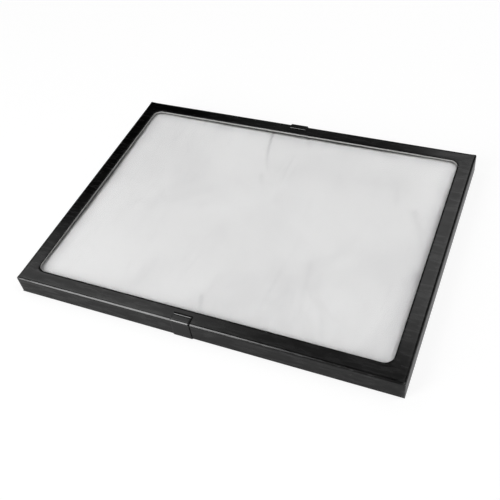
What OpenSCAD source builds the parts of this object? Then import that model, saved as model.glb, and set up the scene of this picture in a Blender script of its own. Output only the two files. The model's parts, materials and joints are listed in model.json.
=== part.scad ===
// Shallow display case: a wrapped board tray with a batting bed, closed by a
// wrapped board lid with a glazed window and held by two slip-on metal clips.
// +X runs along the long side, +Y to the rear, +Z up; the case stands on its clips at z = 0.

/* [Case] */
// Outside length of the closed case
case_w = 406.4; // [240:0.1:620]
// Outside depth of the closed case
case_d = 304.8; // [180:0.1:460]
// Outside height of the closed case
case_h = 22.2; // [19:0.1:60]
// Width of the border round the window
border_w = 16; // [14.5:0.1:30]
// Corner radius of the window
window_r = 9.5; // [2:0.5:30]

/* [Board and paper] */
// Thickness of the folded chipboard
board_t = 1.6; // [1:0.1:2.5]
// Thickness of the embossed cover paper
paper_t = 0.3; // [0.2:0.05:0.5]
// Radius inside a folded board edge
inner_fold_r = 0.5; // [0.4:0.1:1.5]
// Radius of the soft paper edge outside a rim
rim_r = 0.6; // [0.55:0.05:0.8]
// Height of the cover paper turned in at a rim
turn_in = 8; // [4:0.5:11]
// Thickness of the gummed tape at the box corners
tape_t = 0.15; // [0.1:0.05:0.3]
// Length of each leg of the corner tape
tape_leg = 14; // [8:1:25]
// Margin of the corner tape below the rim of a wall
tape_margin = 2; // [1:0.5:4]
// Width of the open joint where two folded walls meet
corner_kerf = 0.3; // [0.2:0.1:0.6]
// Thickness of the liner sheet in the tray
liner_t = 0.2; // [0.1:0.05:0.4]
// Gap round the liner sheet
liner_gap = 0.5; // [0.3:0.1:3]
// Gap between the lid and the tray that it covers
slide_gap = 0.5; // [0.3:0.1:1.5]
// Gap between the tray's rim and the strips that hold the glass
seat_gap = 0.1; // [0.05:0.05:0.5]

/* [Glass] */
// Thickness of the glass
glass_t = 2; // [1.5:0.1:3]
// How far the glass reaches behind the border
glass_lap = 8; // [5:0.5:10]
// Gap between the glass edge and its spacer strips
glass_gap = 0.3; // [0.2:0.1:1]
// Width of the strips that hold the glass from below
retainer_w = 11; // [9:0.5:12]
// Thickness of the strips that hold the glass from below
retainer_t = 1.6; // [1:0.1:3]

/* [Batting] */
// Gap between the batting and the tray walls
batting_gap = 0.5; // [0.4:0.1:3]
// Gap between the batting and the glass
batting_head = 0.3; // [0.3:0.1:1]
// How far the crown of the batting stands above its edges
batting_crown = 2.6; // [2.4:0.1:5]
// How far the batting's outermost edge rolls down
batting_roll = 4; // [1:0.5:6]
// How far the sides of the batting draw in between the corners
batting_draw = 1.5; // [0:0.1:4]

/* [Clips] */
// Width of a clip along the case
clip_w = 20; // [10:0.5:40]
// Reach of a clip's flanges over the case
clip_reach = 8; // [5:0.5:12]
// Thickness of the clip's sheet metal
clip_t = 0.8; // [0.4:0.1:1.2]
// Radius inside a clip's two bends
clip_bend_r = 0.5; // [0.3:0.1:1.2]
// Radius of the turned-up lip on a clip's upper flange
lip_r = 3; // [2:0.5:6]
// Angle that the lip turns through
lip_angle = 40; // [20:5:60]
// Gap between a clip and the case, in front and below
clip_gap = 0.05; // [0.02:0.01:0.2]
// Play between the lid and a clip's upper flange
clip_play = 0.3; // [0.1:0.05:0.6]
// Place of the front clip along the case
front_clip_x = -13; // [-100:1:100]
// Place of the rear clip along the case
rear_clip_x = -1.5; // [-100:0.5:100]

/* [Hidden] */
$fn = 64;

black_paper = [0.16, 0.16, 0.16];
grey_board = [0.62, 0.58, 0.52];
kraft_tape = [0.66, 0.5, 0.33];
white_sheet = [0.9, 0.9, 0.88];
batting_white = [0.96, 0.96, 0.95];
glass_tint = [0.8, 0.9, 0.88, 0.35];
clip_black = [0.2, 0.2, 0.2];

// Radii of one folded edge, from its centre line outwards
board_in_r = inner_fold_r;
board_out_r = board_in_r + board_t;
fold_r = board_out_r + paper_t;
turn_in_r = board_in_r - paper_t;
wall_t = board_t + paper_t;
tape_top = fold_r + 1;

// Heights, from the clip's lower flange upwards
case_z = clip_t + clip_gap;
case_top = case_z + case_h;
glass_top = case_top - wall_t;
glass_z = glass_top - glass_t;
retainer_z = glass_z - retainer_t;

// The window and what is behind the border
window_w = case_w - 2 * border_w;
window_d = case_d - 2 * border_w;
lid_in_w = case_w - 2 * fold_r;
lid_in_d = case_d - 2 * fold_r;
glass_w = window_w + 2 * glass_lap;
glass_d = window_d + 2 * glass_lap;
spacer_w = (lid_in_w - glass_w) / 2 - glass_gap;

// The tray inside the lid
tray_inset = fold_r - turn_in_r + slide_gap;
tray_w = case_w - 2 * tray_inset;
tray_d = case_d - 2 * tray_inset;
tray_h = retainer_z - seat_gap - case_z;
tray_in_w = tray_w - 2 * (fold_r - turn_in_r);
tray_in_d = tray_d - 2 * (fold_r - turn_in_r);
tray_floor_z = case_z + wall_t;

// The batting bed, as half sizes and heights
batting_x = tray_in_w / 2 - batting_gap;
batting_y = tray_in_d / 2 - batting_gap;
batting_z = tray_floor_z + liner_t;
batting_top = glass_z - batting_head;
batting_cells = [26, 20];
crown_power = 8;
roll_power = 40;

clip_out_r = clip_bend_r + clip_t;

// Section forms, drawn with u to the right and the panel's outer face at the bottom

module quarter_ring(r_in, r_out) {
    translate([0, fold_r])
        intersection() {
            difference() {
                circle(r_out);
                circle(r_in);
            }
            translate([0, -r_out]) square(r_out);
        }
}

module board_section(h) {
    quarter_ring(board_in_r, board_out_r);
    translate([board_in_r, fold_r]) square([board_t, h - paper_t - fold_r]);
}

module paper_section(h) {
    quarter_ring(board_out_r, fold_r);
    difference() {
        union() {
            translate([board_out_r, fold_r]) square([paper_t, h - fold_r]);
            translate([turn_in_r, h - paper_t]) square([fold_r - turn_in_r, paper_t]);
            translate([turn_in_r, h - turn_in]) square([paper_t, turn_in]);
        }
        translate([fold_r - rim_r, h - rim_r]) difference() {
            square(2 * rim_r);
            circle(rim_r);
        }
    }
}

module tape_section(h) {
    translate([board_out_r - tape_t, tape_top]) square([tape_t, h - tape_margin - tape_top]);
}

// Sweeps, turned by quarter turns so that side and corner are drawn once

function turned(w, d, i) = i % 2 == 0 ? [w, d] : [d, w];

module swept_side(size, length, offset_y) {
    translate([size.x / 2 - fold_r, offset_y, 0])
        rotate([90, 0, 0]) linear_extrude(length, center = true) children();
}

module swept_corner(size) {
    translate([size.x / 2 - fold_r, size.y / 2 - fold_r, 0])
        rotate_extrude(angle = 90) children();
}

module swept_walls(w, d) {
    for (i = [0:3]) rotate(90 * i) {
        swept_side(turned(w, d, i), turned(w, d, i).y - 2 * fold_r, 0) children();
        swept_corner(turned(w, d, i)) children();
    }
}

module corner_tape(w, d, h, i) {
    size = turned(w, d, i);
    other = turned(d, w, i);
    rotate(90 * i) {
        swept_corner(size) tape_section(h);
        swept_side(size, tape_leg, size.y / 2 - fold_r - tape_leg / 2) tape_section(h);
        rotate(90) swept_side(other, tape_leg, tape_leg / 2 + fold_r - other.y / 2) tape_section(h);
    }
}

module corner_kerfs(w, d, h) {
    for (sx = [-1, 1], sy = [-1, 1])
        translate([sx * (w / 2 - fold_r), sy * (d / 2 - fold_r), fold_r])
            rotate(atan2(sy, sx))
                translate([0, -corner_kerf / 2, 0]) cube([2 * fold_r, corner_kerf, h]);
}

module panel(w, d, z, t) {
    translate([0, 0, z + t / 2]) cube([w - 2 * fold_r, d - 2 * fold_r, t], center = true);
}

module rounded_rect(w, d, r) {
    square([w - 2 * r, d], center = true);
    square([w, d - 2 * r], center = true);
    for (sx = [-1, 1], sy = [-1, 1]) translate([sx * (w / 2 - r), sy * (d / 2 - r)]) circle(r);
}

// One folded and taped board box, and its cover paper, with the panel below and the rim up

module board_box(w, d, h) {
    difference() {
        union() {
            swept_walls(w, d) board_section(h);
            panel(w, d, paper_t, board_t);
        }
        corner_kerfs(w, d, h);
        for (i = [0:3]) corner_tape(w, d, h, i);
    }
}

module paper_box(w, d, h) {
    swept_walls(w, d) paper_section(h);
    panel(w, d, 0, paper_t);
}

// Lid

module as_lid() {
    translate([0, 0, case_top]) mirror([0, 0, 1]) children();
}

module window_cut() {
    translate([0, 0, -wall_t / 2]) linear_extrude(2 * wall_t) rounded_rect(window_w, window_d, window_r);
}

module lid_board() {
    color(grey_board) as_lid() difference() {
        board_box(case_w, case_d, case_h);
        window_cut();
    }
}

module lid_cover_paper() {
    color(black_paper) as_lid() difference() {
        paper_box(case_w, case_d, case_h);
        window_cut();
    }
}

module lid_tape(i) {
    color(kraft_tape) as_lid() corner_tape(case_w, case_d, case_h, i);
}

module glass_pane() {
    color(glass_tint) translate([0, 0, glass_z + glass_t / 2])
        cube([glass_w, glass_d, glass_t], center = true);
}

// Strips round the glass: the long ones run through, the short ones butt between them

module long_strip(side, width, z, t) {
    translate([0, side * (lid_in_d - width) / 2, z + t / 2]) cube([lid_in_w, width, t], center = true);
}

module short_strip(side, width, z, t) {
    translate([side * (lid_in_w - width) / 2, 0, z + t / 2])
        cube([width, lid_in_d - 2 * width, t], center = true);
}

module spacer_long(side) {
    color(grey_board) long_strip(side, spacer_w, glass_z, glass_t);
}

module spacer_short(side) {
    color(grey_board) short_strip(side, spacer_w, glass_z, glass_t);
}

module retainer_long(side) {
    color(grey_board) long_strip(side, retainer_w, retainer_z, retainer_t);
}

module retainer_short(side) {
    color(grey_board) short_strip(side, retainer_w, retainer_z, retainer_t);
}

// Base tray

module as_base() {
    translate([0, 0, case_z]) children();
}

module base_board() {
    color(grey_board) as_base() board_box(tray_w, tray_d, tray_h);
}

module base_cover_paper() {
    color(black_paper) as_base() paper_box(tray_w, tray_d, tray_h);
}

module base_tape(i) {
    color(kraft_tape) as_base() corner_tape(tray_w, tray_d, tray_h, i);
}

module base_liner() {
    color(white_sheet) translate([0, 0, tray_floor_z + liner_t / 2])
        cube([tray_in_w - 2 * liner_gap, tray_in_d - 2 * liner_gap, liner_t], center = true);
}

// Batting: a crowned bed, closest to the glass in the middle, with drawn-in sides

function spread(i, cells) = sin(90 * (2 * i / cells - 1));

function batting_point(s, t, on_top) = [
    s * (batting_x - batting_draw * (1 - t * t) * s * s),
    t * (batting_y - batting_draw * (1 - s * s) * t * t),
    on_top ? batting_height(s, t) : batting_z
];

function batting_height(s, t) =
    batting_top - batting_crown * (1 - (1 - pow(abs(s), crown_power)) * (1 - pow(abs(t), crown_power)))
    - batting_roll * max(pow(abs(s), roll_power), pow(abs(t), roll_power));

function grid_index(i, j, layer) =
    layer * (batting_cells.x + 1) * (batting_cells.y + 1) + i * (batting_cells.y + 1) + j;

// Two triangles on the corners a, b, c, d, seen clockwise from outside
function split(a, b, c, d) = [[a, b, c], [a, c, d]];

function bed_faces(nx, ny) = [
    for (i = [0:nx - 1], j = [0:ny - 1], f = concat(
        split(grid_index(i, j, 1), grid_index(i, j + 1, 1),
              grid_index(i + 1, j + 1, 1), grid_index(i + 1, j, 1)),
        split(grid_index(i, j, 0), grid_index(i + 1, j, 0),
              grid_index(i + 1, j + 1, 0), grid_index(i, j + 1, 0))
    )) f,
    for (i = [0:nx - 1], f = concat(
        split(grid_index(i, 0, 0), grid_index(i, 0, 1), grid_index(i + 1, 0, 1), grid_index(i + 1, 0, 0)),
        split(grid_index(i, ny, 0), grid_index(i + 1, ny, 0), grid_index(i + 1, ny, 1), grid_index(i, ny, 1))
    )) f,
    for (j = [0:ny - 1], f = concat(
        split(grid_index(0, j, 0), grid_index(0, j + 1, 0), grid_index(0, j + 1, 1), grid_index(0, j, 1)),
        split(grid_index(nx, j, 0), grid_index(nx, j, 1), grid_index(nx, j + 1, 1), grid_index(nx, j + 1, 0))
    )) f
];

module batting_pad() {
    points = [
        for (layer = [0, 1], i = [0:batting_cells.x], j = [0:batting_cells.y])
            batting_point(spread(i, batting_cells.x), spread(j, batting_cells.y), layer == 1)
    ];
    color(batting_white) polyhedron(points, bed_faces(batting_cells.x, batting_cells.y));
}

// Clips: one bent strip each, drawn in section with v running in over the case

module bend(turn) {
    rotate(turn) intersection() {
        difference() {
            circle(clip_out_r);
            circle(clip_bend_r);
        }
        square(clip_out_r);
    }
}

module lip_section() {
    intersection() {
        difference() {
            circle(lip_r + clip_t);
            circle(lip_r);
        }
        rotate(-90) polygon([
            [0, 0],
            [2 * lip_r, 0],
            [2 * lip_r, 2 * lip_r * tan(lip_angle)]
        ]);
    }
}

module clip_section() {
    web_v = -clip_gap - clip_t;
    bend_v = clip_bend_r - clip_gap;
    upper_z = case_top + clip_play;
    lip_v = clip_reach - (lip_r + clip_t) * sin(lip_angle);
    translate([web_v, clip_out_r]) square([clip_t, upper_z + clip_t - 2 * clip_out_r]);
    translate([bend_v, clip_out_r]) bend(180);
    translate([bend_v, upper_z + clip_t - clip_out_r]) bend(90);
    translate([bend_v, 0]) square([clip_reach - bend_v, clip_t]);
    translate([bend_v, upper_z]) square([lip_v - bend_v, clip_t]);
    translate([lip_v, upper_z + clip_t + lip_r]) lip_section();
}

module clip(x, turn) {
    color(clip_black) translate([x, 0, 0]) rotate(turn) translate([0, -case_d / 2, 0])
        rotate([90, 0, 90]) linear_extrude(clip_w, center = true) clip_section();
}

lid_board();
lid_cover_paper();
lid_tape(0);  // lid_tape_rear_right
lid_tape(1);  // lid_tape_rear_left
lid_tape(2);  // lid_tape_front_left
lid_tape(3);  // lid_tape_front_right
glass_pane();
spacer_long(-1);  // glass_spacer_front
spacer_long(1);  // glass_spacer_rear
spacer_short(-1);  // glass_spacer_left
spacer_short(1);  // glass_spacer_right
retainer_long(-1);  // glass_retainer_front
retainer_long(1);  // glass_retainer_rear
retainer_short(-1);  // glass_retainer_left
retainer_short(1);  // glass_retainer_right
base_board();
base_cover_paper();
base_tape(0);  // base_tape_rear_right
base_tape(1);  // base_tape_rear_left
base_tape(2);  // base_tape_front_left
base_tape(3);  // base_tape_front_right
base_liner();
batting_pad();
clip(front_clip_x, 0);  // front_clip
clip(rear_clip_x, 180);  // rear_clip
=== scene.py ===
import json
import math
import bmesh
import bpy
from mathutils import Matrix, Vector, geometry, noise


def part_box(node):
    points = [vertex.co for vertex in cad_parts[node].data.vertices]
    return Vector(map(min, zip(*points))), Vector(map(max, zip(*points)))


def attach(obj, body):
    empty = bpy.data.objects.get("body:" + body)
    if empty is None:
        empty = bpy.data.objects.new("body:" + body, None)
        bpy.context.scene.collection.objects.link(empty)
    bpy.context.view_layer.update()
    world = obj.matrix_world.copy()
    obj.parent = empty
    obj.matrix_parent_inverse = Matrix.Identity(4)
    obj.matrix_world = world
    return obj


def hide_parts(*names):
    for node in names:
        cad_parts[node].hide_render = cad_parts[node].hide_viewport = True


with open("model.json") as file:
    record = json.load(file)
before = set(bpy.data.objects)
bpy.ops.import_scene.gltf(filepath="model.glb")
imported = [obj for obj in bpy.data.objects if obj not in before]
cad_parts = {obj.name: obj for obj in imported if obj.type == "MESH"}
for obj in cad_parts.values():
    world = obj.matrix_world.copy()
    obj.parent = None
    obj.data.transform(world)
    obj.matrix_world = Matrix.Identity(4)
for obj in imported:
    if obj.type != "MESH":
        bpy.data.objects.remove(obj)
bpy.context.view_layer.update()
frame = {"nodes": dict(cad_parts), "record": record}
scene = bpy.context.scene
mm = 0.001
print("frame loaded")


# Shader maths: a Wire is one output socket, and arithmetic on wires adds Math nodes

class Wire:
    def __init__(self, graph, socket):
        self.graph = graph
        self.socket = socket

    def maths(self, operation, *values):
        return self.graph.node("ShaderNodeMath", {"operation": operation}, values)

    def __add__(self, other):
        return self.maths("ADD", self, other)

    def __radd__(self, other):
        return self.maths("ADD", other, self)

    def __sub__(self, other):
        return self.maths("SUBTRACT", self, other)

    def __rsub__(self, other):
        return self.maths("SUBTRACT", other, self)

    def __mul__(self, other):
        return self.maths("MULTIPLY", self, other)

    def __rmul__(self, other):
        return self.maths("MULTIPLY", other, self)

    def __abs__(self):
        return self.maths("ABSOLUTE", self)

    def lowest(self, other):
        return self.maths("MINIMUM", self, other)

    def highest(self, other):
        return self.maths("MAXIMUM", self, other)

    def ease(self, start, end):
        # 0 before start, 1 past end, with a soft step between them
        return self.graph.node("ShaderNodeMapRange", {"interpolation_type": "SMOOTHSTEP"},
                               {"Value": self, "From Min": start, "From Max": end})


class Graph:
    def __init__(self, owner):
        owner.use_nodes = True
        self.tree = owner.node_tree
        self.tree.nodes.clear()

    def node(self, kind, settings=None, sockets=None, out=0):
        made = self.tree.nodes.new(kind)
        for key, value in (settings or {}).items():
            setattr(made, key, value)
        pairs = sockets.items() if isinstance(sockets, dict) else enumerate(sockets or ())
        for key, value in pairs:
            if isinstance(value, Wire):
                self.tree.links.new(value.socket, made.inputs[key])
            else:
                made.inputs[key].default_value = value
        return Wire(self, made.outputs[out])

    def mixColours(self, share, first, second):
        # the factor, both colours and the result of the Mix node have these numbers when it mixes colours
        return self.node("ShaderNodeMix", {"data_type": "RGBA"}, {0: share, 6: first, 7: second}, out=2)

    def place(self, scale=(1, 1, 1), turn=(0, 0, 0)):
        # object coordinates in metres, stretched or turned for one pattern
        spot = self.node("ShaderNodeTexCoord", out="Object")
        return self.node("ShaderNodeMapping", {}, {"Vector": spot, "Rotation": turn, "Scale": scale})

    def noise(self, perMetre, detail=3, stretch=(1, 1, 1), turn=(0, 0, 0), roughness=0.5, distortion=0):
        return self.node("ShaderNodeTexNoise", {}, {
            "Vector": self.place(stretch, turn), "Scale": perMetre, "Detail": detail,
            "Roughness": roughness, "Distortion": distortion})

    def attribute(self, name):
        return self.node("ShaderNodeAttribute", {"attribute_name": name}, out="Fac")

    def grey(self, value):
        return self.node("ShaderNodeCombineColor", {}, [value, value, value])

    def bump(self, height, distance, strength=1.0):
        sockets = {"Strength": strength, "Distance": distance, "Height": height}
        return self.node("ShaderNodeBump", {}, sockets)

    def output(self, shader, kind="ShaderNodeOutputMaterial"):
        self.tree.links.new(shader.socket, self.tree.nodes.new(kind).inputs["Surface"])


def material(name):
    made = bpy.data.materials.new(name)
    return made, Graph(made)


def tint(red, green, blue):
    return (red, green, blue, 1)


# Camera: where the picture was taken from, looking at a point on the case

cameraSetup = {
    "position": (0.26539, -0.48092, 0.56831),
    "target": (0.01543, -0.04558, 0.02),
    "roll": math.radians(-9.985),
    "lens": 52.529,
    "sensor": 36,
    "nearest": 0.05,
    "farthest": 40,
}


def makeCamera(setup):
    data = bpy.data.cameras.new("camera")
    data.lens = setup["lens"]
    data.sensor_width = setup["sensor"]
    data.clip_start, data.clip_end = setup["nearest"], setup["farthest"]
    camera = bpy.data.objects.new("camera", data)
    scene.collection.objects.link(camera)
    look = Vector(setup["target"]) - Vector(setup["position"])
    turn = look.to_track_quat("-Z", "Y").to_matrix().to_4x4() @ Matrix.Rotation(setup["roll"], 4, "Z")
    camera.matrix_world = Matrix.Translation(setup["position"]) @ turn
    scene.camera = camera


makeCamera(cameraSetup)
print("camera set")


# Stage: a pale floor that reads as white paper, and soft boxes round the case

stageSetup = {
    "floorReach": 6.0,
    "floorDrop": 0.2 * mm,
    "floorColour": 0.22,
    "whiteLift": 0.86,
    "mirroredLift": 0.25,
    "worldFill": 0.13,
    "horizon": 0.5,
    "ceiling": 0.006,
    "horizonEnds": 0.15,
}

# each soft box: where it hangs, the point it faces, its size, its radiance,
# and the share of it that fades at an edge
softBoxes = {
    "leftBank": {"place": (-0.67, -1.12, 0.74), "aim": (0, 0, 0),
                 "width": 0.62, "height": 1.5, "radiance": 4.8, "fade": 0.08},
    "backLeftPanel": {"place": (-1.3, 0.52, 1.5), "aim": (-1.3, 0.52, 0),
                      "width": 1.9, "height": 1.2, "radiance": 1.1, "fade": 0.35},
    "backRightPanel": {"place": (0.15, 1.4, 1.5), "aim": (0.15, 1.4, 0),
                       "width": 0.75, "height": 1.3, "radiance": 1.1, "fade": 0.2},
    "backDimPanel": {"place": (-0.55, 1.2, 1.52), "aim": (-0.55, 1.2, 0),
                     "width": 1.3, "height": 1.9, "radiance": 0.24, "fade": 0.25},
    "sideFill": {"place": (1.0, 0.1, 1.5), "aim": (0, 0, 0),
                 "width": 1.2, "height": 1.2, "radiance": 2.5, "fade": 0.1},
}


def makeFloor(setup):
    # matt paper that the camera and glass see lifted to white, and mirrors see a little dimmer
    shape = bmesh.new()
    bmesh.ops.create_grid(shape, x_segments=1, y_segments=1, size=setup["floorReach"])
    bmesh.ops.translate(shape, verts=shape.verts, vec=(0, 0, -setup["floorDrop"]))
    mesh = bpy.data.meshes.new("floor")
    shape.to_mesh(mesh)
    shape.free()
    floor = bpy.data.objects.new("floor", mesh)
    scene.collection.objects.link(floor)
    paint, graph = material("floorPaper")
    seen, mirrored = firstRays(graph)
    lit = graph.node("ShaderNodeBsdfDiffuse", {}, {"Color": tint(*[setup["floorColour"]] * 3)})
    strength = seen * setup["whiteLift"] + mirrored * setup["mirroredLift"]
    glow = graph.node("ShaderNodeEmission", {}, {"Color": tint(1, 1, 1), "Strength": strength})
    graph.output(graph.node("ShaderNodeAddShader", {}, [lit, glow]))
    mesh.materials.append(paint)


def firstRays(graph):
    # 1 for what the camera sees, also through glass, and 1 for what it sees in a mirroring surface
    path = graph.node("ShaderNodeLightPath", out="Is Camera Ray")
    ways = path.socket.node.outputs
    unlit = 1 - Wire(graph, ways["Diffuse Depth"]).lowest(1)
    seen = path.highest(Wire(graph, ways["Is Transmission Ray"])) * unlit
    mirrored = Wire(graph, ways["Is Glossy Ray"]) * unlit * (1 - seen)
    return seen, mirrored


def makeWorld(setup):
    # white behind the floor, dim above in mirrors, and an even fill on matt surfaces
    world = bpy.data.worlds.new("studio")
    scene.world = world
    graph = Graph(world)
    spot = graph.node("ShaderNodeTexCoord", out="Generated")
    height = graph.node("ShaderNodeSeparateXYZ", {}, [spot], out="Z")
    seen, mirrored = firstRays(graph)
    darkening = (setup["horizon"] - setup["ceiling"]) * height.ease(0, setup["horizonEnds"])
    backdrop = setup["horizon"] - darkening
    fill = (1 - seen - mirrored) * setup["worldFill"]
    strength = seen + mirrored * backdrop + fill
    back = graph.node("ShaderNodeBackground", {}, {"Color": tint(1, 1, 1), "Strength": strength})
    graph.output(back, "ShaderNodeOutputWorld")


def makeSoftBox(name, setup):
    width, height, fade = setup["width"], setup["height"], setup["fade"]
    data = bpy.data.lights.new(name, "AREA")
    data.shape = "RECTANGLE"
    data.size, data.size_y = width, height
    data.energy = setup["radiance"] * math.pi * width * height
    graph = Graph(data)
    spot = graph.node("ShaderNodeNewGeometry", out="Parametric")
    strength = 1
    for axis in ("X", "Y"):
        along = graph.node("ShaderNodeSeparateXYZ", {}, [spot], out=axis)
        strength = along.ease(0, fade) * (1 - along).ease(0, fade) * strength
    glow = graph.node("ShaderNodeEmission", {}, {"Color": tint(1, 1, 1), "Strength": strength})
    graph.output(glow, "ShaderNodeOutputLight")
    lamp = bpy.data.objects.new(name, data)
    away = Vector(setup["place"]) - Vector(setup["aim"])
    turn = away.to_track_quat("Z", "Y").to_matrix().to_4x4()
    lamp.matrix_world = Matrix.Translation(setup["place"]) @ turn
    scene.collection.objects.link(lamp)


makeFloor(stageSetup)
makeWorld(stageSetup)
for boxName, boxSetup in softBoxes.items():
    makeSoftBox(boxName, boxSetup)
scene.view_settings.view_transform = "Standard"
print("stage lit")


# Materials, one for each slot of the record

# dull lines on the lid's top behind the clips' lips, painted shade for the gap under each lip: how far each
# starts ahead of the lip, where it ends, and how softly
lipShadeLines = {
    "ahead": 0.4 * mm,
    "full": 2.3 * mm,
    "end": 2.9 * mm,
    "sideFade": 0.8 * mm,
}

coverPaperLook = {
    "black": 0.0008,
    "cloudBlack": (0.55, 0.9),
    "worn": 0.035,
    "wornPatch": (0.62, 0.85),
    "wornPatchGrey": 0.003,
    "scuffBase": 0.35,
    "scuffRange": (0.30, 0.85),
    "roughness": 0.16,
    "cloudRoughness": 0.16,
    "rubRoughness": 0.22,
    "scuffRoughness": 0.15,
    "lipShadeRoughness": 0.7,
    "shine": 0.5,
    "patchyShine": 0.45,
    "patchRange": (0.42, 0.66),
    "burnish": 0.9,
    "rubbedBurnish": (0.7, 0.6),
    "burnishRoughness": 0.3,
    "clouds": {"perMetre": 38, "detail": 4, "roughness": 0.6},
    "rub": {"perMetre": 140, "detail": 5, "stretch": (0.35, 1, 1), "turn": (0, 0, 0.25), "roughness": 0.7},
    "streaks": {"perMetre": 230, "detail": 4, "stretch": (0.22, 1, 1), "turn": (0, 0, 0.12),
                "roughness": 0.6, "distortion": 0.5},
    "grainPerMetre": 1100,
    "grainSoftness": 0.7,
    "grainShare": 0.6,
    "rubShare": 0.5,
    "grainDepth": 0.10 * mm,
    "grainStrength": 0.22,
}


def lipShadeMask(graph, setup):
    # 1 in a band behind each clip's lip, where the paper is made rough and uncoated as painted shade for
    # the gap under the lip
    spot = graph.node("ShaderNodeTexCoord", out="Object")
    along = graph.node("ShaderNodeSeparateXYZ", {}, [spot], out="X")
    across = graph.node("ShaderNodeSeparateXYZ", {}, [spot], out="Y")
    marks = 0
    for name in ("front_clip", "rear_clip"):
        low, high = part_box(name)
        side = math.copysign(1, low.y)
        tip = min(abs(low.y), abs(high.y))
        halfWidth = (high.x - low.x) / 2
        within = 1 - abs(along - (low.x + high.x) / 2).ease(halfWidth, halfWidth + setup["sideFade"])
        inward = tip - across * side
        line = inward.ease(-setup["ahead"], 0) * (1 - inward.ease(setup["full"], setup["end"]))
        marks = within * line + marks
    return marks


def coverPaper(look):
    made, graph = material("embossedBlackPaper")
    clouds = graph.noise(**look["clouds"])
    rub = graph.noise(**look["rub"])
    streaks = graph.noise(**look["streaks"])
    pebble = graph.node("ShaderNodeTexVoronoi", {"feature": "SMOOTH_F1"}, {
        "Vector": graph.place(), "Scale": look["grainPerMetre"], "Smoothness": look["grainSoftness"]})
    wear = graph.attribute("wear")
    # painted shade: behind each clip's lip the paper gets rougher and loses its coat, so it mirrors less
    # there
    lipShade = lipShadeMask(graph, lipShadeLines)
    scuffs = (wear * (look["scuffBase"] + rub)).ease(*look["scuffRange"])
    deepest, cloudy = look["cloudBlack"]
    black = look["black"] * (deepest + cloudy * clouds)
    patches = rub.ease(*look["wornPatch"]) * look["wornPatchGrey"]
    roughness = look["roughness"] + look["cloudRoughness"] * (clouds - 0.5)
    roughness = roughness + look["rubRoughness"] * (rub - 0.5) + look["scuffRoughness"] * scuffs
    even, patchy = look["rubbedBurnish"]
    burnished = graph.attribute("burnish") * look["burnish"] * (even + patchy * rub)
    coat = burnished + streaks.ease(*look["patchRange"]) * look["patchyShine"]
    relief = pebble * look["grainShare"] + rub * look["rubShare"]
    shader = graph.node("ShaderNodeBsdfPrincipled", {}, {
        "Base Color": graph.grey(black + scuffs * look["worn"] + patches),
        "Roughness": roughness + lipShade * look["lipShadeRoughness"], "Specular IOR Level": look["shine"],
        "Coat Weight": coat * (1 - lipShade), "Coat Roughness": look["burnishRoughness"],
        "Normal": graph.bump(relief, look["grainDepth"], look["grainStrength"])})
    graph.output(shader)
    return made


boardLook = {
    "core": (0.66, 0.655, 0.64),
    "darkPulp": 0.72,
    "fleck": (0.34, 0.335, 0.32),
    "fleckRange": (0.66, 0.74),
    "fleckShare": 0.6,
    "pulp": {"perMetre": 900, "detail": 5, "roughness": 0.7},
    "flecks": {"perMetre": 2300, "detail": 2},
    "plies": {"perMetre": 3200, "detail": 1, "stretch": (0.02, 0.02, 1)},
    "pulpShare": 0.35,
    "plyShare": 0.25,
    "plyRelief": 0.6,
    "relief": (0.12 * mm, 0.5),
    "roughness": 0.9,
    "shine": 0.2,
}


def rawBoard(look):
    made, graph = material("greyChipboard")
    pulp = graph.noise(**look["pulp"])
    fleck = graph.noise(**look["flecks"]).ease(*look["fleckRange"])
    plies = graph.noise(**look["plies"])
    dark = tint(*[value * look["darkPulp"] for value in look["core"]])
    tone = graph.mixColours(pulp * look["pulpShare"] + plies * look["plyShare"], tint(*look["core"]), dark)
    colour = graph.mixColours(fleck * look["fleckShare"], tone, tint(*look["fleck"]))
    shader = graph.node("ShaderNodeBsdfPrincipled", {}, {
        "Base Color": colour, "Roughness": look["roughness"], "Specular IOR Level": look["shine"],
        "Normal": graph.bump(pulp + plies * look["plyRelief"], *look["relief"])})
    graph.output(shader)
    return made


tapeLook = {
    "dark": (0.42, 0.27, 0.14),
    "light": (0.62, 0.44, 0.26),
    "fibres": {"perMetre": 420, "detail": 5, "stretch": (1, 1, 0.12), "roughness": 0.65},
    "blotches": {"perMetre": 60, "detail": 2},
    "fibreShare": 0.6,
    "blotchShare": 0.4,
    "relief": (0.08 * mm, 0.5),
    "roughness": 0.55,
    "fibreRoughness": 0.3,
    "shine": 0.35,
}


def kraftTape(look):
    made, graph = material("gummedKraftTape")
    fibres = graph.noise(**look["fibres"])
    share = fibres * look["fibreShare"] + graph.noise(**look["blotches"]) * look["blotchShare"]
    shader = graph.node("ShaderNodeBsdfPrincipled", {}, {
        "Base Color": graph.mixColours(share, tint(*look["dark"]), tint(*look["light"])),
        "Roughness": look["roughness"] + look["fibreRoughness"] * fibres,
        "Specular IOR Level": look["shine"], "Normal": graph.bump(fibres, *look["relief"])})
    graph.output(shader)
    return made


linerLook = {
    "light": (0.80, 0.80, 0.78),
    "dark": (0.70, 0.70, 0.68),
    "fibres": {"perMetre": 700, "detail": 5, "roughness": 0.65},
    "clouds": {"perMetre": 25, "detail": 3},
    "fibreShare": 0.5,
    "cloudShare": 0.3,
    "relief": (0.06 * mm, 0.4),
    "roughness": 0.85,
    "shine": 0.25,
}


def linerPaper(look):
    made, graph = material("whiteLinerPaper")
    fibres = graph.noise(**look["fibres"])
    share = fibres * look["fibreShare"] + graph.noise(**look["clouds"]) * look["cloudShare"]
    shader = graph.node("ShaderNodeBsdfPrincipled", {}, {
        "Base Color": graph.mixColours(share, tint(*look["light"]), tint(*look["dark"])),
        "Roughness": look["roughness"], "Specular IOR Level": look["shine"],
        "Normal": graph.bump(fibres, *look["relief"])})
    graph.output(shader)
    return made


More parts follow.
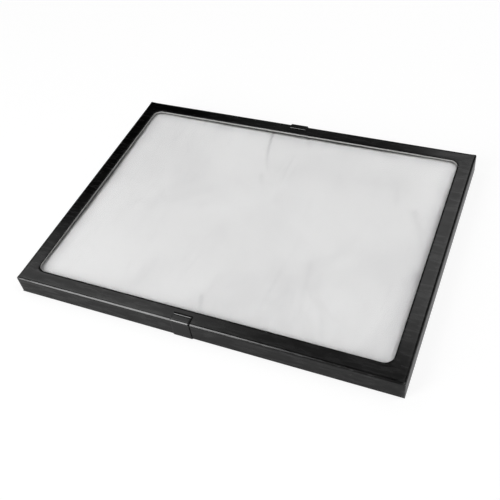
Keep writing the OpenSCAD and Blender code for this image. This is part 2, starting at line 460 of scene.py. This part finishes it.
# the pane mirrors less than bare glass does, because the photo shows almost nothing in it
glassLook = {
    "clear": 0.988,
    "mirrored": 0.15,
    "shadow": 0.935,
    "refraction": 1.5,
    "film": {"perMetre": 18, "detail": 3},
    "filmRange": (0.5, 0.8),
    "roughness": 0.015,
    "filmRoughness": 0.02,
}


def clearGlass(look):
    made, graph = material("clearGlass")
    film = graph.noise(**look["film"]).ease(*look["filmRange"])
    pane = graph.node("ShaderNodeBsdfPrincipled", {}, {
        "Base Color": tint(*[look["clear"]] * 3),
        "Roughness": look["roughness"] + look["filmRoughness"] * film,
        "Transmission Weight": 1, "IOR": look["refraction"],
        "Specular Tint": tint(*[look["mirrored"]] * 3)})
    passing = graph.node("ShaderNodeBsdfTransparent", {}, {"Color": tint(*[look["shadow"]] * 3)})
    shadow = graph.node("ShaderNodeLightPath", out="Is Shadow Ray")
    graph.output(graph.node("ShaderNodeMixShader", {}, [shadow, pane, passing]))
    return made


battingLook = {
    "white": (0.83, 0.83, 0.83),
    "shade": (0.70, 0.70, 0.705),
    "matted": 0.8,
    # colour of the painted shade in the creases and along the window's rear and side edges
    "creaseAndEdgeShade": (0.42, 0.42, 0.43),
    "clouds": {"perMetre": 9, "detail": 4, "roughness": 0.55, "distortion": 0.6},
    "wisps": {"perMetre": 60, "detail": 6, "stretch": (1, 0.22, 1), "turn": (0, 0, 0.4),
              "roughness": 0.62, "distortion": 1.2},
    "hairs": {"perMetre": 620, "detail": 4, "stretch": (1, 0.12, 1), "turn": (0, 0, -0.7),
              "roughness": 0.6, "distortion": 0.8},
    "strands": {"perMetre": 560, "detail": 4, "stretch": (0.12, 1, 1), "turn": (0, 0, -0.3),
                "roughness": 0.6, "distortion": 0.8},
    "cloudRange": (0.42, 0.72),
    "cloudShare": 0.45,
    "wispRange": (0.5, 0.8),
    "wispShare": 0.3,
    "hairRange": (0.55, 0.75),
    "strandRange": (0.58, 0.75),
    "lineShare": 0.015,
    "lineRelief": 0.08,
    "relief": (0.5 * mm, 0.08),
    "roughness": 0.95,
    "shine": 0.1,
    "sheen": 0.15,
    "glowDepth": 4 * mm,
}


def battingFibre(look):
    made, graph = material("whiteFibreBatting")
    clouds = graph.noise(**look["clouds"]).ease(*look["cloudRange"])
    wisps = graph.noise(**look["wisps"])
    hairs = graph.noise(**look["hairs"])
    strands = graph.noise(**look["strands"])
    shaded = clouds * look["cloudShare"] + wisps.ease(*look["wispRange"]) * look["wispShare"]
    tone = graph.mixColours(shaded, tint(*look["white"]), tint(*look["shade"]))
    lines = (hairs.ease(*look["hairRange"]) + strands.ease(*look["strandRange"])) * look["lineShare"]
    matted = graph.mixColours(lines, tone, tint(*[value * look["matted"] for value in look["shade"]]))
    # painted shade: the batting is greyed in its creases and along the window's rear and side edges
    colour = graph.mixColours(graph.attribute("creaseAndEdgeShade"), matted, tint(*look["creaseAndEdgeShade"]))
    relief = wisps + (hairs + strands) * look["lineRelief"]
    shader = graph.node("ShaderNodeBsdfPrincipled", {}, {
        "Base Color": colour, "Roughness": look["roughness"], "Specular IOR Level": look["shine"],
        "Sheen Weight": look["sheen"], "Subsurface Weight": 1, "Subsurface Radius": (1, 1, 1),
        "Subsurface Scale": look["glowDepth"], "Normal": graph.bump(relief, *look["relief"])})
    graph.output(shader)
    return made


clipLook = {
    "black": 0.002,
    "cloudBlack": (0.7, 0.6),
    "steel": 0.10,
    "clouds": {"perMetre": 160, "detail": 4},
    "rub": {"perMetre": 900, "detail": 4, "stretch": (0.1, 1, 1), "roughness": 0.65},
    "wornRub": (0.8, 0.4),
    "bareRange": (0.4, 0.8),
    "bareMetal": 0.9,
    "roughness": 0.14,
    "patternRoughness": 0.06,
    "rubRelief": 0.4,
    "relief": (0.03 * mm, 0.2),
    "shine": 0.65,
}


def clipPaint(look):
    made, graph = material("blackEnamelledSteel")
    clouds = graph.noise(**look["clouds"])
    rub = graph.noise(**look["rub"])
    even, patchy = look["wornRub"]
    bare = (graph.attribute("wear") * (even + patchy * rub)).ease(*look["bareRange"])
    deepest, cloudy = look["cloudBlack"]
    shader = graph.node("ShaderNodeBsdfPrincipled", {}, {
        "Base Color": graph.grey(look["black"] * (deepest + cloudy * clouds) + bare * look["steel"]),
        "Metallic": bare * look["bareMetal"],
        "Roughness": look["roughness"] + look["patternRoughness"] * (clouds + rub),
        "Specular IOR Level": look["shine"],
        "Normal": graph.bump(clouds + rub * look["rubRelief"], *look["relief"])})
    graph.output(shader)
    return made


looks = {
    "cover_paper": coverPaper(coverPaperLook),
    "board": rawBoard(boardLook),
    "corner_tape": kraftTape(tapeLook),
    "liner": linerPaper(linerLook),
    "glass": clearGlass(glassLook),
    "batting": battingFibre(battingLook),
    "clip": clipPaint(clipLook),
}


def dressNodes():
    # every carried-over node takes the finish of its slot
    for part in frame["record"]["subparts"]:
        node = frame["nodes"][part["node"]]
        node.data.materials.clear()
        node.data.materials.append(looks[part["material_slot"]])


dressNodes()
print("materials made")

# Lid wrap: one sheet of cover paper folded over the lid, with the window cut out of it

wrapSetup = {
    "glassLap": 8 * mm,
    "windowRadius": 9.5 * mm,
    "cornerCuts": 32,
    "cornerDraw": 1.5,
    "spacing": 2.0 * mm,
    "foldIn": 2.1 * mm,
    "foldDown": 2.1 * mm,
    "foldCrush": 1.45,
    "foldWander": 0.02,
    "tighterAtCorner": 0.3,
    "foldCuts": 5,
    "borderCuts": 9,
    "wallCuts": 11,
    "rimRadius": 0.6 * mm,
    "rimCuts": 3,
    "wallThickness": 2.2 * mm,
    "turnIn": 8 * mm,
    "turnInCuts": 3,
    "paper": 0.3 * mm,
    "mostSink": 0.08 * mm,
}

# how the paper sinks: each pair is a depth and how far it reaches; waves are per metre
paperSag = {
    "wide": (0.12 * mm, 17),
    "fine": (0.042 * mm, 90),
    "wideShift": Vector((5, 5, 5)),
    "foldWaves": 21,
    "tightCorner": 6 * mm,
    "nickReach": 3 * mm,
    "cornerCrush": (0.12 * mm, 5 * mm),
    "flapStep": (0.12 * mm, 1.5 * mm),
    "flapReach": 14 * mm,
    "endFace": 0.1 * mm,
    "calmAtWindow": 3 * mm,
    "calmAtRim": 4 * mm,
}

# how rubbed and burnished the paper is: each pair is an amount and how far it reaches
paperWear = {
    "corner": (1.1, 3.5 * mm),
    "fold": (0.55, 1.3 * mm),
    "foldWaves": 55,
    "foldShift": Vector((3, 1, 7)),
    "scrape": (0.9, 0.2 * mm),
    "burnishReach": 3 * mm,
    "cornerBurnish": (0.9, 14 * mm),
}

tiny = 1e-6

# dents within a band at the front fold: place along the case, half length, depth
nickBand = 8 * mm
nicks = [(39 * mm, 5 * mm, 0.16 * mm), (74 * mm, 3.5 * mm, 0.24 * mm), (108 * mm, 4 * mm, 0.12 * mm),
         (144 * mm, 2 * mm, 0.26 * mm), (155 * mm, 2 * mm, 0.22 * mm), (172 * mm, 3 * mm, 0.15 * mm),
         (-96 * mm, 6 * mm, 0.10 * mm), (-186 * mm, 4 * mm, 0.18 * mm)]


def roundTips(shape, tips, radius, cuts):
    bmesh.ops.bevel(shape, geom=tips, offset=radius, offset_type="OFFSET", segments=cuts,
                    profile=0.5, affect="VERTICES", material=-1)


def openLoop(shape, half, radius, cornerCuts, spacing):
    # the window's outline: a quad with rounded corners, its sides cut into short edges
    bmesh.ops.create_grid(shape, x_segments=1, y_segments=1, size=1)
    bmesh.ops.scale(shape, verts=shape.verts, vec=(half.x, half.y, 1))
    roundTips(shape, shape.verts[:], radius, cornerCuts)
    for edge in shape.edges[:]:
        cuts = round(edge.calc_length() / spacing) - 1
        if cuts > 2:
            bmesh.ops.subdivide_edges(shape, edges=[edge], cuts=cuts)
    bmesh.ops.delete(shape, geom=shape.faces[:], context="FACES_ONLY")
    return shape.edges[:]


def spokeEnd(spot, half, outer, setup):
    # where the line from a point of the window's edge meets the case's outline,
    # with the lines closer together at the corners
    centre = half - Vector((setup["windowRadius"], setup["windowRadius"]))
    away = Vector((abs(spot.x) - centre.x, abs(spot.y) - centre.y))
    side = Vector((math.copysign(1, spot.x), math.copysign(1, spot.y)))
    if away.x <= tiny:
        return Vector((spot.x, side.y * outer.y, 0))
    if away.y <= tiny:
        return Vector((side.x * outer.x, spot.y, 0))
    share = math.atan2(away.y, away.x) / (math.pi / 4) - 1
    back = abs(share) ** setup["cornerDraw"] * (outer - centre)
    if share < 0:
        return Vector((side.x * outer.x, side.y * (outer.y - back.y), 0))
    return Vector((side.x * (outer.x - back.x), side.y * outer.y, 0))


def roundedSpot(spot, outer, top, reach, crush):
    # pulls a point of the sharp box on to the box with rounded folds, and gives its outward direction;
    # crush is 2 for a round fold and nears 1 for one that is pressed flat
    core = Vector((max(-outer.x + reach.x, min(outer.x - reach.x, spot.x)),
                   max(-outer.y + reach.y, min(outer.y - reach.y, spot.y)), min(top - reach.z, spot.z)))
    away = Vector([(spot[axis] - core[axis]) / reach[axis] for axis in range(3)])
    size = sum(abs(part) ** crush for part in away) ** (1 / crush)
    if size < tiny:
        return spot, Vector((0, 0, 1))
    moved = Vector([core[axis] + away[axis] / size * reach[axis] for axis in range(3)])
    return moved, away.normalized()


def bell(distance, reach):
    return math.exp(-(distance / reach) ** 2)


def ripple(spot, perMetre, shift=Vector()):
    # a smooth random value from 0 to 1
    return 0.5 + 0.5 * noise.noise(spot * perMetre + shift)


def nickDepth(spot, outer):
    if spot.y > nickBand - outer.y:
        return 0
    return sum(depth * bell(spot.x - place, reach) for place, reach, depth in nicks)


def cornerDistances(spot, outer, top):
    # how far a point is from the outline in X and in Y, and from the top
    return Vector((outer.x - abs(spot.x), outer.y - abs(spot.y), top - spot.z))


def wrapWear(spot, outer, top, setup):
    # how rubbed the paper is: at the corners, a little along the folds, and at the nicks; and how burnished
    toCorner = cornerDistances(spot, outer, top)
    toFold = math.hypot(*sorted(toCorner)[:2])
    onFold = bell(toFold, setup["fold"][1])
    onCorner = bell(toCorner.length, setup["corner"][1])
    patch = ripple(spot, setup["foldWaves"], setup["foldShift"])
    scraped = min(1, nickDepth(spot, outer) / setup["scrape"][1]) * onFold
    rubbed = setup["corner"][0] * onCorner + setup["fold"][0] * onFold * patch
    rubbed += setup["scrape"][0] * scraped
    dulled, dulledReach = setup["cornerBurnish"]
    burnished = bell(toFold, setup["burnishReach"]) * (1 - dulled * bell(toCorner.length, dulledReach))
    return min(1, rubbed), burnished


def lidWrap(setup):
    low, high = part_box("lid_cover_paper")
    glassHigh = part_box("glass_pane")[1]
    outer = Vector((high.x, high.y))
    half = Vector((glassHigh.x - setup["glassLap"], glassHigh.y - setup["glassLap"]))
    shape = bmesh.new()
    edges = openLoop(shape, half, setup["windowRadius"], setup["cornerCuts"], setup["spacing"])
    spoke = shape.verts.layers.int.new("spoke")
    wear = shape.verts.layers.float.new("wear")
    burnish = shape.verts.layers.float.new("burnish")
    starts, ends = [], []
    for number, vert in enumerate(shape.verts):
        vert[spoke] = number
        starts.append(vert.co.copy())
        ends.append(spokeEnd(vert.co, half, outer, setup))
        vert.co.z = high.z
    fold = setup["foldDown"]
    border = outer.x - half.x

    def addRing(edges, place):
        grown = bmesh.ops.extrude_edge_only(shape, edges=edges)["geom"]
        for vert in grown:
            if isinstance(vert, bmesh.types.BMVert):
                place(vert)
        return [edge for edge in grown if isinstance(edge, bmesh.types.BMEdge)]

    def onBox(drop, inset, share=1.0):
        # a ring on the sharp box: share of the way out from the window, inset from the outline
        # and drop below the top
        def place(vert):
            spot = starts[vert[spoke]].lerp(ends[vert[spoke]], share)
            reach = Vector((outer.x - inset, outer.y - inset))
            spot.x = max(-reach.x, min(reach.x, spot.x))
            spot.y = max(-reach.y, min(reach.y, spot.y))
            vert.co = Vector((spot.x, spot.y, high.z - drop))
        return place

    flat = (border - fold) / border
    for cut in range(1, setup["borderCuts"] + 1):
        edges = addRing(edges, onBox(0, 0, flat * cut / setup["borderCuts"]))
    for cut in range(1, setup["foldCuts"] + 1):
        edges = addRing(edges, onBox(0, 0, flat + (1 - flat) * cut / setup["foldCuts"]))
    for cut in range(1, setup["foldCuts"] + 1):
        edges = addRing(edges, onBox(fold * cut / setup["foldCuts"], 0))
    wallEnd = high.z - low.z - setup["rimRadius"]
    for cut in range(1, setup["wallCuts"] + 1):
        edges = addRing(edges, onBox(fold + (wallEnd - fold) * cut / setup["wallCuts"], 0))
    for vert in shape.verts:
        vert[wear], vert[burnish] = wrapWear(vert.co, outer, high.z, paperWear)
        bendPaper(vert, setup, paperSag, half, outer, low.z, high.z)
    for step in range(1, setup["rimCuts"] + 1):
        turn = math.pi / 2 * step / setup["rimCuts"]
        dropped = wallEnd + setup["rimRadius"] * math.sin(turn)
        edges = addRing(edges, onBox(dropped, setup["rimRadius"] * (1 - math.cos(turn))))
    depth = high.z - low.z
    edges = addRing(edges, onBox(depth, setup["wallThickness"]))
    for cut in range(1, setup["turnInCuts"] + 1):
        height = setup["turnIn"] * cut / setup["turnInCuts"]
        edges = addRing(edges, onBox(depth - height, setup["wallThickness"]))
    bmesh.ops.recalc_face_normals(shape, faces=shape.faces[:])
    piece = pieceFrom(shape, "lid_wrap", "cover_paper")
    turnOutwards(piece, Vector((0, 0, 1)))
    thicken = piece.modifiers.new("paper", "SOLIDIFY")
    thicken.thickness, thicken.offset = setup["paper"], -1
    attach(piece, "lid")
    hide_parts("lid_cover_paper")
    return piece


def bendPaper(vert, setup, sag, half, outer, rim, top):
    # rounds the folds by a radius that wanders, then lets the paper sink a little
    # between its glued spots
    sharp = vert.co.copy()
    toCorner = cornerDistances(sharp, outer, top)
    wander = noise.noise(sharp * sag["foldWaves"]) * setup["foldWander"]
    tighter = setup["tighterAtCorner"] * bell(toCorner.xy.length, sag["tightCorner"])
    reach = Vector((setup["foldIn"], setup["foldIn"], setup["foldDown"])) * (1 + wander - tighter)
    spot, out = roundedSpot(sharp, outer, top, reach, setup["foldCrush"])
    fromWindow = max(abs(sharp.x) - half.x, abs(sharp.y) - half.y)
    calm = min(1, fromWindow / sag["calmAtWindow"]) * min(1, (sharp.z - rim) / sag["calmAtRim"])
    wide, wideWaves = sag["wide"]
    fine, fineWaves = sag["fine"]
    sink = wide * ripple(sharp, wideWaves, sag["wideShift"]) + fine * ripple(sharp, fineWaves)
    sink += nickDepth(sharp, outer) * bell(math.hypot(top - sharp.z, outer.y + sharp.y), sag["nickReach"])
    crushed, crushReach = sag["cornerCrush"]
    sink += crushed * bell(toCorner.length, crushReach)
    beyondFlap = toCorner.y - sag["flapReach"]
    if toCorner.x < sag["endFace"] and beyondFlap > 0:
        step, rise = sag["flapStep"]
        sink += step * min(1, beyondFlap / rise)
    vert.co = spot - out * min(setup["mostSink"], sink * calm)


# Making pieces

def pieceFrom(shape, name, slot):
    mesh = bpy.data.meshes.new(name)
    shape.to_mesh(mesh)
    shape.free()
    mesh.shade_smooth()
    mesh.materials.append(looks[slot])
    piece = bpy.data.objects.new(name, mesh)
    scene.collection.objects.link(piece)
    return piece


def turnOutwards(piece, up):
    # the highest face shows which way the sheet's normals point
    highest = max(piece.data.polygons, key=lambda face: face.center.z)
    if highest.normal.dot(up) < 0:
        piece.data.flip_normals()


# Clips: a strip of sheet metal bent up over the case's edge, one at the front and one at the rear

clipSetup = {
    "metal": 0.6 * mm,
    "gap": 0.05 * mm,
    "play": 0.3 * mm,
    "lowerBend": 0.5 * mm,
    "upperBend": 1.7 * mm,
    "bendCuts": 8,
    "lipRadius": 2.35 * mm,
    "lipAngle": math.radians(45),
    "acrossCuts": 10,
    "flangeCuts": 4,
    "webCuts": 6,
    "cornerRadius": 0.9 * mm,
    "cornerCuts": 4,
    "weld": 0.001 * mm,
    "edgeRound": 0.08 * mm,
    "edgeAngle": math.radians(50),
}

# bare metal on the clips: each pair is an amount and how far it reaches,
# at the bend as a share of its radius
clipWear = {
    "side": (0.3, 0.5 * mm),
    "bend": (0.85, 0.05),
    "lip": (0.9, 0.35 * mm),
}


def clipPiece(name, node, turn, setup):
    low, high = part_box(node)
    metal = setup["metal"]
    reach = high.y - low.y - metal - setup["gap"]
    lowerY = setup["lowerBend"] - setup["gap"]
    upperY = setup["upperBend"] - setup["gap"]
    lowerMid = setup["lowerBend"] + metal / 2
    upperMid = setup["upperBend"] + metal / 2
    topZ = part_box("lid_cover_paper")[1].z + setup["play"] + metal
    lipY = reach - (setup["lipRadius"] + metal) * math.sin(setup["lipAngle"])
    across = Vector((1, 0, 0))
    shape = bmesh.new()
    ends = [shape.verts.new((side * (high.x - low.x) / 2, reach, metal / 2)) for side in (-1, 1)]
    bmesh.ops.subdivide_edges(shape, edges=[shape.edges.new(ends)], cuts=setup["acrossCuts"])
    edges = shape.edges[:]

    def run(edges, vec, cuts):
        for cut in range(cuts):
            grown = bmesh.ops.extrude_edge_only(shape, edges=edges)["geom"]
            verts = [part for part in grown if isinstance(part, bmesh.types.BMVert)]
            bmesh.ops.translate(shape, verts=verts, vec=Vector(vec) / cuts)
            edges = [part for part in grown if isinstance(part, bmesh.types.BMEdge)]
        return edges

    def curl(edges, centre, angle, steps):
        spun = bmesh.ops.spin(shape, geom=edges, cent=centre, axis=across, angle=angle, steps=steps)
        return [part for part in spun["geom_last"] if isinstance(part, bmesh.types.BMEdge)]

    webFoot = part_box("base_cover_paper")[0].z - setup["gap"] - metal / 2
    webTop = topZ - metal / 2 - upperMid
    bmesh.ops.translate(shape, verts=shape.verts, vec=(0, 0, webFoot - metal / 2))
    edges = run(edges, (0, lowerY - reach, 0), setup["flangeCuts"])
    edges = curl(edges, (0, lowerY, webFoot + lowerMid), -math.pi / 2, setup["bendCuts"])
    edges = run(edges, (0, 0, webTop - webFoot - lowerMid), setup["webCuts"])
    edges = curl(edges, (0, upperY, webTop), -math.pi / 2, setup["bendCuts"])
    edges = run(edges, (0, lipY - upperY, 0), setup["flangeCuts"])
    curl(edges, (0, lipY, topZ + setup["lipRadius"]), setup["lipAngle"], setup["bendCuts"])
    bmesh.ops.remove_doubles(shape, verts=shape.verts[:], dist=setup["weld"])
    tips = [vert for vert in shape.verts if len(vert.link_edges) == 2]
    roundTips(shape, tips, setup["cornerRadius"], setup["cornerCuts"])
    wear = shape.verts.layers.float.new("wear")
    (onSide, sideReach), (onBend, bendReach), (onLip, lipReach) = clipWear.values()
    tip = max(vert.co.z for vert in shape.verts)
    for vert in shape.verts:
        fromSide = (high.x - low.x) / 2 - abs(vert.co.x)
        fromBend = math.hypot(vert.co.y - upperY, vert.co.z - webTop) / upperMid
        bare = onSide * bell(fromSide, sideReach) + onLip * bell(tip - vert.co.z, lipReach)
        if vert.co.y < upperY and vert.co.z > webTop:
            bare += onBend * bell(fromBend - 1, bendReach)
        vert[wear] = min(1, bare)
    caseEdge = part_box("lid_cover_paper")[0].y
    bmesh.ops.translate(shape, verts=shape.verts, vec=(0, caseEdge, 0))
    bmesh.ops.rotate(shape, verts=shape.verts, cent=(0, 0, 0), matrix=Matrix.Rotation(turn, 3, "Z"))
    bmesh.ops.translate(shape, verts=shape.verts, vec=((high.x + low.x) / 2, 0, 0))
    bmesh.ops.recalc_face_normals(shape, faces=shape.faces[:])
    piece = pieceFrom(shape, name, "clip")
    thicken = piece.modifiers.new("metal", "SOLIDIFY")
    thicken.thickness, thicken.offset = metal, 0
    rounding = piece.modifiers.new("edges", "BEVEL")
    rounding.width, rounding.segments, rounding.limit_method = setup["edgeRound"], 2, "ANGLE"
    rounding.angle_limit = setup["edgeAngle"]
    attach(piece, node)
    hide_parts(node)
    return piece


# Batting: a fibre bed swollen by a cloth simulation, flattened by the glass and creased

battingSetup = {
    "voxel": 4 * mm,
    "shrink": 0.4 * mm,
    "pressure": 4,
    "lastFrame": 20,
    "cap": 2.4 * mm,
    "glassGap": 0.06 * mm,
    "floorGap": 0.02 * mm,
    "wallGap": 0.3 * mm,
    "weld": 0.01 * mm,
    "tufts": (0.22 * mm, 60),
    "swells": (0.132 * mm, 17),
    "swellShift": Vector((2, 8, 4)),
    # painted shade along the window's rear and side edges: how grey, how far it reaches, how unevenly
    "edgeShade": 0.34,
    "edgeReach": 9.5 * mm,
    "edgeWander": (0.7, 40),
    "fill": 0.7,
}

# creases: the depth that shows the full painted shade, the power by which the painted shade falls off to
# the sides, and the share of a crease that is gone at its far end
creaseDepth = 1.1 * mm
creasePower = 1.5
creaseFade = 0.85

# folds in the batting: depth, half width and the points that each runs through, fading on the way
creases = [
    (1.0 * mm, 1.7 * mm, [(-30, 139), (-28, 125), (-24, 105), (-19, 88), (-11, 70)]),
    (0.18 * mm, 3.0 * mm, [(-16, 62), (-12, 52), (-6, 43), (-2, 30)]),
    (0.5 * mm, 2.4 * mm, [(-120, 140), (-116, 126)]),
    (0.35 * mm, 3.0 * mm, [(13, 139), (19, 126), (22, 118)]),
    (0.12 * mm, 3.5 * mm, [(80, -45), (85, -75), (89, -104), (86, -124), (80, -136)]),
    (0.12 * mm, 2.6 * mm, [(113, -108), (119, -128), (121, -138)]),
    (0.3 * mm, 2.4 * mm, [(-8, -115), (-2, -130), (0, -138)]),
    (0.35 * mm, 3.5 * mm, [(92, 140), (104, 134), (118, 138)]),
    (0.22 * mm, 6.0 * mm, [(160, 50), (170, 30), (179, 10), (184, -14)]),
    (0.25 * mm, 7.0 * mm, [(183, -30), (180, -60), (184, -95)]),
]


def creaseAt(spot):
    # depth of the folds at a point, and how much painted shade they put there
    sunk, dark = 0, 0
    for depth, width, points in creases:
        route = [Vector((x * mm, y * mm, 0)) for x, y in points]
        flat = Vector((spot.x, spot.y, 0))
        for step, (first, second) in enumerate(zip(route, route[1:])):
            share = max(0, min(1, geometry.intersect_point_line(flat, first, second)[1]))
            fading = 1 - creaseFade * (step + share) / (len(route) - 1)
            form = bell((flat - first.lerp(second, share)).length, width) * fading
            sunk = max(sunk, depth * form)
            dark = max(dark, depth / creaseDepth * form ** creasePower)
    return sunk, dark


def bakedMesh(piece):
    shown = piece.evaluated_get(bpy.context.evaluated_depsgraph_get())
    return bpy.data.meshes.new_from_object(shown)


def battingBed(setup):
    low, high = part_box("batting_pad")
    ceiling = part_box("glass_pane")[0].z - setup["glassGap"]
    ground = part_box("base_liner")[1].z + setup["floorGap"]
    shape = bmesh.new()
    shape.from_mesh(frame["nodes"]["batting_pad"].data)
    bmesh.ops.remove_doubles(shape, verts=shape.verts[:], dist=setup["weld"])
    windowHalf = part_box("glass_pane")[1] - Vector([wrapSetup["glassLap"]] * 3)
    size = high - low
    slim = [1 - 2 * setup["shrink"] / size.x, 1 - 2 * setup["shrink"] / size.y, 1]
    centre = (low + high) / 2
    bmesh.ops.scale(shape, verts=shape.verts, vec=slim, space=Matrix.Translation(-centre))
    piece = pieceFrom(shape, "batting_bed", "batting")
    grid = piece.modifiers.new("grid", "REMESH")
    grid.mode, grid.voxel_size = "VOXEL", setup["voxel"]
    piece.data = bakedMesh(piece)
    piece.modifiers.clear()
    swell(piece, setup)
    softness = piece.modifiers.new("softness", "SUBSURF")
    softness.levels = softness.render_levels = 1
    piece.data = bakedMesh(piece)
    piece.modifiers.clear()
    # painted shade per point: greyer in the creases and along the window's rear and side edges
    dark = piece.data.attributes.new("creaseAndEdgeShade", "FLOAT", "POINT")
    tuft, tuftWaves = setup["tufts"]
    swelling, swellWaves = setup["swells"]
    wander, wanderWaves = setup["edgeWander"]
    for vert in piece.data.vertices:
        spot = vert.co
        sunk, shade = creaseAt(spot)
        hollow = tuft * ripple(spot, tuftWaves) + swelling * ripple(spot, swellWaves, setup["swellShift"])
        spot.z = min(spot.z, ceiling - hollow) if spot.z > centre.z else max(spot.z, ground)
        if spot.z > centre.z:
            spot.z -= sunk
            # painted shade: the batting is greyed towards the window's rear and side edges, where the lid's
            # border shades it, and not at the front
            fromSide = min(windowHalf.x - abs(spot.x), windowHalf.y - spot.y)
            uneven = 1 + wander * noise.noise(spot * wanderWaves)
            paintedEdgeShade = setup["edgeShade"] * uneven * bell(max(0, fromSide), setup["edgeReach"])
            dark.data[vert.index].value = min(1, shade + paintedEdgeShade)
        spot.x = max(low.x - setup["wallGap"], min(high.x + setup["wallGap"], spot.x))
        spot.y = max(low.y - setup["wallGap"], min(high.y + setup["wallGap"], spot.y))
    piece.data.shade_smooth()
    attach(piece, "base")
    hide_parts("batting_pad")
    return piece


def swell(piece, setup):
    rest = [vert.co.copy() for vert in piece.data.vertices]
    cloth = piece.modifiers.new("swelling", "CLOTH")
    cloth.settings.use_pressure = True
    cloth.settings.uniform_pressure_force = setup["pressure"]
    cloth.settings.effector_weights.gravity = 0
    cloth.point_cache.frame_start, cloth.point_cache.frame_end = 1, setup["lastFrame"]
    for step in range(1, setup["lastFrame"] + 1):
        scene.frame_set(step)
    swollen = bakedMesh(piece)
    piece.modifiers.clear()
    for vert, was, now in zip(piece.data.vertices, rest, swollen.vertices):
        shift = now.co - was
        vert.co = was + shift * min(1, setup["cap"] / max(shift.length, tiny * mm))
    bpy.data.meshes.remove(swollen)
    scene.frame_set(1)


lidWrap(wrapSetup)
print("lid wrapped")
clipPiece("front_clip_bent", "front_clip", 0, clipSetup)
clipPiece("rear_clip_bent", "rear_clip", math.pi, clipSetup)
print("clips bent")
battingBed(battingSetup)
print("batting laid")
